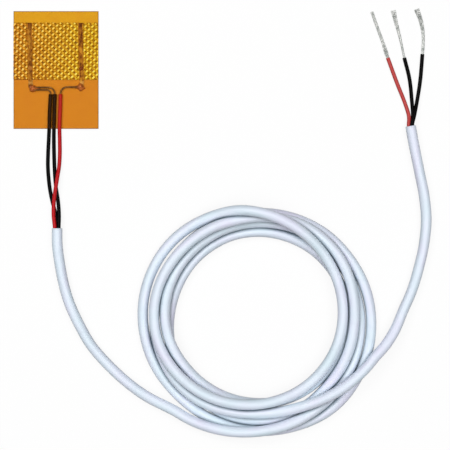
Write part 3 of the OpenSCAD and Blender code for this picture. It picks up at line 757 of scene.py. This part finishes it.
def makeWeave():
    tree = yarnTree()
    warp = grown("warp", emptyMesh("warpSource"), tree, {
        "Count": warps + 1, "Pitch": patch["width"] / warps, "Length": band["length"],
        "Crossing": band["length"] / wefts, "Swing": band["warpSwing"],
        "Slant": band["warpSlant"], "Wander": band["wander"], "Bulge": band["warpBulge"],
        "Half Width": band["warpSize"][0], "Half Thickness": band["warpSize"][1],
        "Segments": wefts * band["segments"][0] + 1}, looks["weave"])
    weft = grown("weft", emptyMesh("weftSource"), tree, {
        "Count": wefts + 1, "Pitch": band["length"] / wefts, "Length": patch["width"],
        "Crossing": patch["width"] / warps, "Swing": band["weftSwing"],
        "Phase": 1.0, "Wander": band["wander"],
        "Half Width": band["weftSize"][0], "Half Thickness": band["weftSize"][1],
        "Segments": warps * band["segments"][1] + 1}, looks["weave"])
    half = patch["width"] / 2
    for part, turned, height in ((warp, False, band["warpHeight"]), (weft, True, band["weftHeight"])):
        co = np.empty(len(part.data.vertices) * 3)
        part.data.vertices.foreach_get("co", co)
        co = co.reshape(-1, 3)
        if turned:  # the weft runs across
            x, y = co[:, 1].copy(), bandEnd + co[:, 0]
        else:
            x, y = co[:, 0] - half, bandMiddle + co[:, 1]
        z = height + co[:, 2]
        # the cloth was laid a little askew
        x, y = x + band["skew"] * (y - bandMiddle), y + band["tilt"] * x
        # and is pressed flat under the ribbons
        pressed = 1 - smooth((fromRibbons(x, y) - band["ribbonHalf"] + 0.02) / 0.06)
        room = (band["ribbonFloor"] - band["floor"] - 0.01) / (2 * (band["warpHeight"] - band["floor"]))
        z = z + (band["floor"] + (z - band["floor"]) * room - z) * pressed
        x, y = np.clip(x, -half, half), np.clip(y, bandEnd, band["top"])
        part.data.vertices.foreach_set("co", (np.stack([x, y, z], axis=1) * mm).ravel())
        part.data.update()
    return joined("wovenBand", [warp, weft])


def joined(name, parts):
    bpy.ops.object.select_all(action="DESELECT")
    for part in parts:
        part.select_set(True)
    bpy.context.view_layer.objects.active = parts[0]
    bpy.ops.object.join()
    parts[0].name = parts[0].data.name = name
    return parts[0]


weave = makeWeave()
print(f"band woven, {len(weave.data.polygons)} faces")


# Cover film: draped over the band, the ribbons, the joints, the bare wires and the leads

film = {
    "cell": 0.13, "thickness": 0.05, "clear": 0.015, "aroundWire": 0.03,
    "slope": 0.65, "falls": 12, "softens": 6, "bandHigh": 0.63, "bandLow": 0.5,
    "joints": ((-5.2, -4.2), (5.55, -3.85)), "jointRadius": 1.05, "jointHeight": 0.9,
    "ribbonEnd": -3.95, "tackAt": 0.35, "tackRadius": 0.52, "tackHeight": 0.12,
}


def domeOver(x, y, middle, radius, foot, height):
    d = np.hypot(x - middle[0], y - middle[1]) / radius
    return np.where(d < 1, foot + height * np.sqrt(np.clip(1 - d * d, 0, 1)), 0)


def filmHeights(x, y):
    # lowest height that clears each thing, over a grid
    u = (x - band["skew"] * (y - bandMiddle) + patch["width"] / 2) * warps / patch["width"]
    v = (y - band["tilt"] * x - bandEnd) * wefts / band["length"]
    middle, swing = (film["bandHigh"] + film["bandLow"]) / 2, (film["bandHigh"] - film["bandLow"]) / 2
    knuckles = middle + swing * np.cos(math.pi * u) * np.cos(math.pi * v)
    inBand = (y > bandEnd - 0.02) & (y < band["top"] + 0.02)
    away = fromRibbons(x, y)
    flat = band["ribbonTop"] + film["clear"]
    onRibbon = smooth((band["ribbonHalf"] + 0.06 - away) / 0.08)
    low = np.where(inBand, knuckles + (flat - knuckles) * onRibbon, patch["deck"])
    tail = (y <= bandEnd) & (y > film["ribbonEnd"]) & (away < band["ribbonHalf"] + 0.04)
    low = np.where(tail, flat, low)
    for side in (0, 1):
        tack = (ribbonX(side, film["tackAt"]), film["tackAt"])
        low = np.maximum(low, domeOver(x, y, tack, film["tackRadius"] + 0.05, flat, film["tackHeight"]))
        low = np.maximum(low, domeOver(x, y, film["joints"][side], film["jointRadius"] + 0.06, patch["deck"],
                                       film["jointHeight"] + film["clear"]))
    return low


def nearPath(x, y, low, path, radius):
    # raises the heights over a round wire
    for px, py, pz in path:
        d2 = (x - px) ** 2 + (y - py) ** 2
        near = d2 < radius * radius
        low[near] = np.maximum(low[near], pz + np.sqrt(radius * radius - d2[near]))
    return low


wire = {"diameter": 0.38, "gap": 0.27, "foot": 0.15, "tucked": 0.6}


def wireRoute(start, into):
    # sideways from the joint, then round one bend down into its lead
    x, top, height = lead["routes"][into][0]
    way = math.copysign(1, x - start[0])
    bend = start[1] - top - wire["foot"]
    arc = [(x - way * bend * (1 - math.sin(a)), start[1] - bend * (1 - math.cos(a)))
           for a in np.linspace(0, math.pi / 2, 9)]
    return [(*place, height) for place in (start, *arc, (x, top), (x, top - wire["tucked"]))]


(leftX, leftY), (rightX, rightY) = film["joints"]
wireRoutes = {
    "blackConductorFirst": wireRoute((leftX, leftY - wire["gap"]), "blackLeadFirst"),
    "blackConductorSecond": wireRoute((leftX, leftY + wire["gap"]), "blackLeadSecond"),
    "redConductor": wireRoute((rightX, rightY), "redLead"),
}


def makeFilm():
    w, h = patch["width"], patch["length"]
    nx, ny = round(w / film["cell"]), round(h / film["cell"])
    x, y = np.meshgrid(np.linspace(-w / 2, w / 2, nx + 1), np.linspace(-h / 2, h / 2, ny + 1))
    low = filmHeights(x, y)
    for route in wireRoutes.values():
        nearPath(x, y, low, through(route, 0.08), wire["diameter"] / 2 + film["aroundWire"])
    for name in lead["routes"]:
        path = leadPaths[name] / mm
        nearPath(x, y, low, path[path[:, 1] > -h / 2 - 0.5], lead["diameter"] / mm / 2 + film["aroundWire"])
    drape = low.copy()
    reach = film["slope"] * film["cell"]
    below = y < bandEnd + 0.1
    for _ in range(film["falls"]):  # film falls away from what it covers no steeper than its slope
        lifted = drape.copy()
        for axis in (0, 1):
            for shift in (-1, 1):
                moved = np.roll(drape, shift, axis)
                edge = [slice(None)] * 2
                edge[axis] = 0 if shift == 1 else -1
                moved[tuple(edge)] = patch["deck"]
                lifted = np.maximum(lifted, moved - reach)
        drape = np.where(below, lifted, drape)
    for _ in range(film["softens"]):  # and has no sharp crease
        padded = np.pad(drape, 1, mode="edge")
        mean = (padded[:-2, 1:-1] + padded[2:, 1:-1] + padded[1:-1, :-2] + padded[1:-1, 2:]) / 4
        drape = np.where(below, np.maximum(low, drape * 0.4 + mean * 0.6), drape)
    top = np.stack([x, y, drape + film["thickness"]], axis=2).reshape(-1, 3)
    under = np.stack([x, y, drape], axis=2).reshape(-1, 3)
    n, across = len(top), nx + 1
    faces = []
    for j in range(ny):
        for i in range(nx):
            a = j * across + i
            faces.append((a, a + 1, a + across + 1, a + across))
            faces.append((n + a + across, n + a + across + 1, n + a + 1, n + a))
    rim = [*range(across), *(j * across + nx for j in range(1, ny + 1)),
           *(ny * across + i for i in range(nx - 1, -1, -1)), *(j * across for j in range(ny - 1, 0, -1))]
    faces += [(b, a, n + a, n + b) for a, b in zip(rim, rim[1:] + rim[:1])]
    return dress(meshObject("coverFilm", np.vstack([top, under]) * mm, faces), "coverFilm")


coverFilm = makeFilm()
print("film draped")


# Stranded wire: bare conductors on the patch and the tinned ends of the tails

def strandTree():
    tree, given, out = newTree("strands", ("Wires",), ("Wire Radius", "Lay Radius", "Lay Length", "Step"))
    fine = addNode(tree, "GeometryNodeResampleCurve", {
        "Curve": given["Geometry"], "Length": given["Step"]}, mode="LENGTH")
    level = addNode(tree, "GeometryNodeSetCurveNormal", {"Curve": fine.outputs[0]}, mode="Z_UP")
    copies = addNode(tree, "GeometryNodeDuplicateElements",
                     {"Geometry": level.outputs[0], "Amount": given["Wires"]}, domain="SPLINE")
    way = tree.nodes.new("GeometryNodeInputTangent").outputs[0]
    normal = tree.nodes.new("GeometryNodeInputNormal").outputs[0]
    side = addNode(tree, "ShaderNodeVectorMath", {0: way, 1: normal}, operation="CROSS_PRODUCT").outputs[0]
    gone = tree.nodes.new("GeometryNodeSplineParameter").outputs["Length"]
    broad = tree.nodes.new("GeometryNodeInputRadius").outputs[0]
    share = calc(tree, "DIVIDE", copies.outputs["Duplicate Index"], given["Wires"])
    share = calc(tree, "ADD", share, calc(tree, "DIVIDE", gone, given["Lay Length"]))
    angle = calc(tree, "MULTIPLY", share, 2 * math.pi)
    parts = []
    for direction, wave in ((normal, "COSINE"), (side, "SINE")):
        size = calc(tree, "MULTIPLY", calc(tree, wave, angle), given["Lay Radius"])
        if direction == normal:  # flattened: spread sideways by the curve's own radius
            size = calc(tree, "MULTIPLY", size, broad)
        part = addNode(tree, "ShaderNodeVectorMath", {0: direction, "Scale": size}, operation="SCALE")
        parts.append(part.outputs[0])
    offset = addNode(tree, "ShaderNodeVectorMath", dict(enumerate(parts)), operation="ADD").outputs[0]
    moved = addNode(tree, "GeometryNodeSetPosition", {"Geometry": copies.outputs[0], "Offset": offset})
    plain = addNode(tree, "GeometryNodeSetCurveRadius", {"Curve": moved.outputs[0], "Radius": 1.0})
    circle = addNode(tree, "GeometryNodeCurvePrimitiveCircle", {
        "Resolution": 8, "Radius": given["Wire Radius"]})
    return tubesAlong(tree, plain, circle, given, out)


strands = {
    "pathStep": 0.2, "step": 0.25,
    "bareWire": {"wires": 6, "wireRadius": 0.068, "layRadius": 0.118, "layLength": 2.6},
    "tinned": {"wires": 9, "wireRadius": 0.095, "layRadius": 0.14, "layLength": 9},
    "tucked": 0.7,  # how far the tinned ends go back into their tails
    "ends": {
        "redStrands": [(74.15, 2.7, 0.46), (73.1, 6, 0.42), (71.8, 9.6, 0.36), (70.6, 13, 0.34)],
        "blackStrandsFirst": [(77.85, 2.7, 0.46), (76.8, 7.6, 0.4), (75.95, 10.8, 0.36), (75.4, 13.3, 0.34)],
        "blackStrandsSecond": [(81.9, 3.5, 0.46), (82.1, 7.4, 0.4), (81.6, 10.8, 0.36), (80.6, 13.6, 0.34)],
    },
    "breadths": {  # how far each end is flattened and splayed, from the tail to its tip
        "redStrands": (1.2, 2.6, 1.9, 1.7, 1.7, 1.8, 1.7),
        "blackStrandsFirst": (1.2, 1.0, 1.2, 1.6, 2.0, 2.6, 3.4),
        "blackStrandsSecond": (1.2, 1.9, 1.6, 1.9, 2.5, 3.0, 3.6),
    },
}
strandGrowth = strandTree()


def strandBundle(name, route, kind, breadths=(1, 1)):
    lay = strands[kind]
    source = curveObject(name + "Path", through(route, strands["pathStep"]) * mm, breadths)
    return grown(name, source, strandGrowth, {
        "Wires": lay["wires"], "Wire Radius": lay["wireRadius"] * mm, "Lay Radius": lay["layRadius"] * mm,
        "Lay Length": lay["layLength"] * mm, "Step": strands["step"] * mm}, looks[kind])


conductors, tinnedEnds = {}, {}
for name, route in wireRoutes.items():
    conductors[name] = strandBundle(name, route, "bareWire")
for name, route in strands["ends"].items():
    start, way = np.array(route[0]), np.subtract(route[1], route[0])
    back = start - way / np.linalg.norm(way) * strands["tucked"]
    tinnedEnds[name] = strandBundle(name, [back, *route], "tinned", strands["breadths"][name])
print("strands twisted")


# Solder: lumpy joints under the band and the flat tacks on the ribbons

solder = {
    "rings": 14, "around": 36,
    "jointSize": (0.92, 0.86, 0.9), "jointLump": 0.3,
    "tackSize": (0.52, 0.5, 0.12), "tackLump": 0.2,
}


def solderLump(name, kind, middle, seed, look, tail=0.0):
    # a lumpy dome, drawn out sideways along the wire that leaves it
    rings, around = solder["rings"], solder["around"]
    size, lump = solder[kind + "Size"], solder[kind + "Lump"]
    points, faces = [], []
    for j in range(rings + 1):
        tilt = math.pi / 2 * j / rings
        for i in range(around):
            turn = 2 * math.pi * i / around
            way = Vector((math.cos(tilt) * math.cos(turn), math.cos(tilt) * math.sin(turn), math.sin(tilt)))
            swell = 1 + lump * (noise.noise(way * 1.7 + Vector((seed, 0, 0))) - 0.25)
            drawn = abs(tail) * max(0.0, math.copysign(way.x, tail * way.x)) ** 3 * (1 - way.z)
            reach = (1 + drawn, 1 - 0.25 * drawn, 1)
            points.append([middle[k] + way[k] * size[k] * swell * reach[k] for k in range(3)])
    for j in range(rings):
        for i in range(around):
            k = (i + 1) % around
            faces.append((j * around + i, j * around + k, (j + 1) * around + k, (j + 1) * around + i))
    faces.append(tuple(range(around))[::-1])
    obj = meshObject(name, np.array(points) * mm, faces)
    for polygon in obj.data.polygons:
        if len(polygon.vertices) > 4:
            polygon.use_smooth = False
    return dress(obj, look)


solderPieces = {}
for name, side, seed, tail in (("leftJoint", 0, 3.1, 1.1), ("rightJoint", 1, 8.4, -0.6)):
    middle = (*film["joints"][side], patch["deck"])
    solderPieces[name] = solderLump(name, "joint", middle, seed, "solder", tail)
for name, side, seed, look in (("leftTack", 0, 1.0, "paleTack"), ("rightTack", 1, 5.0, "darkTack")):
    middle = (ribbonX(side, film["tackAt"]), film["tackAt"], band["ribbonTop"])
    solderPieces[name] = solderLump(name, "tack", middle, seed, look)
print("solder set")


# CAD nodes that stay, with their finishes

for node, look in (("adhesive_backing", "adhesive"), ("base_film", "baseFilm"), ("sense_wire", "senseWire"),
                   ("left_ribbon", "leftRibbon"), ("right_ribbon", "rightRibbon")):
    dress(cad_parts[node], look)


# Everything rides on the one body, and the CAD nodes that each new piece stands for are hidden

def place(obj, look, *nodes):
    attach(obj, "root")
    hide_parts(*nodes)


standsFor = {
    "blackLeadFirst": ("black_insulation", "black_lead_1"),
    "blackLeadSecond": ("black_insulation", "black_lead_2"),
    "redLead": ("red_insulation", "red_lead"),
    "redTail": ("faded_red_insulation", "red_tail"),
    "blackTailFirst": ("black_insulation", "black_tail_1"),
    "blackTailSecond": ("black_insulation", "black_tail_2"),
    "blackConductorFirst": ("conductor", "black_conductor_1"),
    "blackConductorSecond": ("conductor", "black_conductor_2"),
    "redConductor": ("conductor", "red_conductor"),
    "redStrands": ("tinned_copper", "red_strands"),
    "blackStrandsFirst": ("tinned_copper", "black_strands_1"),
    "blackStrandsSecond": ("tinned_copper", "black_strands_2"),
    "leftJoint": ("solder", "left_solder_joint"),
    "rightJoint": ("solder", "right_solder_joint"),
    "leftTack": ("solder", "left_ribbon_tack"),
    "rightTack": ("solder", "right_ribbon_tack"),
}
pieces = {**leads, **conductors, **tinnedEnds, **solderPieces}
place(jacket, "jacket", "cable_lead_in", "cable_coil", "cable_lead_out")
for name, (look, node) in standsFor.items():
    place(pieces[name], look, node)
place(weave, "woven_glass", "glass_weave")
place(coverFilm, "clear_film", "cover_film")

print("pieces placed")


# Floor, world and lamps

studio = {
    "floor": 3.0, "paint": 0.92, "bounce": 0.06, "glow": 0.86, "zenith": 3.1, "narrow": 6,
    "lampSize": 0.2, "lamps": {"key": ((-0.25, 0.2, 0.5), 0.9), "fill": ((0.3, -0.05, 0.5), 0.3)},
}


def twoShaders(tree, share, first, second, output):
    both = addNode(tree, "ShaderNodeMixShader", {0: share, 1: first.outputs[0], 2: second.outputs[0]})
    tree.links.new(both.outputs[0], tree.nodes.new(output).inputs[0])


def makeFloor():
    half = studio["floor"] / 2
    corners = [(-half, -half, 0), (half, -half, 0), (half, half, 0), (-half, half, 0)]
    floor = meshObject("floor", corners, [(0, 1, 2, 3)])
    material = bpy.data.materials.new("floor")
    material.use_nodes = True
    tree = material.node_tree
    tree.nodes.clear()
    rays = tree.nodes.new("ShaderNodeLightPath").outputs
    seen = calc(tree, "MAXIMUM", rays["Is Camera Ray"], rays["Is Glossy Ray"])
    seen = calc(tree, "MAXIMUM", seen, rays["Is Transmission Ray"])
    tone = mixed(tree, seen, (studio["bounce"],) * 3, (studio["paint"],) * 3)
    paint = addNode(tree, "ShaderNodeBsdfDiffuse", {"Color": tone})
    glow = addNode(tree, "ShaderNodeEmission", {"Color": (1, 1, 1, 1), "Strength": 1.0})
    share = calc(tree, "MULTIPLY", seen, studio["glow"])
    twoShaders(tree, share, paint, glow, "ShaderNodeOutputMaterial")
    floor.data.materials.append(material)


def makeWorld():
    world = bpy.data.worlds.new("studio")
    scene.world = world
    world.use_nodes = True
    tree = world.node_tree
    tree.nodes.clear()
    up = axesOf(tree, coordinates(tree, "Generated"))["Z"]
    overhead = calc(tree, "POWER", calc(tree, "MAXIMUM", up, 0.0), studio["narrow"])
    level = calc(tree, "MULTIPLY", overhead, studio["zenith"])
    soft = addNode(tree, "ShaderNodeBackground", {"Color": (1, 1, 1, 1), "Strength": level})
    white = addNode(tree, "ShaderNodeBackground", {"Color": (1, 1, 1, 1), "Strength": 1.0})
    rays = tree.nodes.new("ShaderNodeLightPath").outputs
    twoShaders(tree, rays["Is Camera Ray"], soft, white, "ShaderNodeOutputWorld")


def makeLamp(name, spot, power):
    data = bpy.data.lights.new(name, "AREA")
    data.size, data.energy = studio["lampSize"], power
    lamp = bpy.data.objects.new(name, data)
    lamp.location = spot
    target = Vector((*cameraSet["middle"], 0))
    lamp.rotation_euler = (target - Vector(spot)).to_track_quat("-Z", "Y").to_euler()
    scene.collection.objects.link(lamp)


makeFloor()
makeWorld()
for name, (spot, power) in studio["lamps"].items():
    makeLamp(name, spot, power)
print("studio lit")
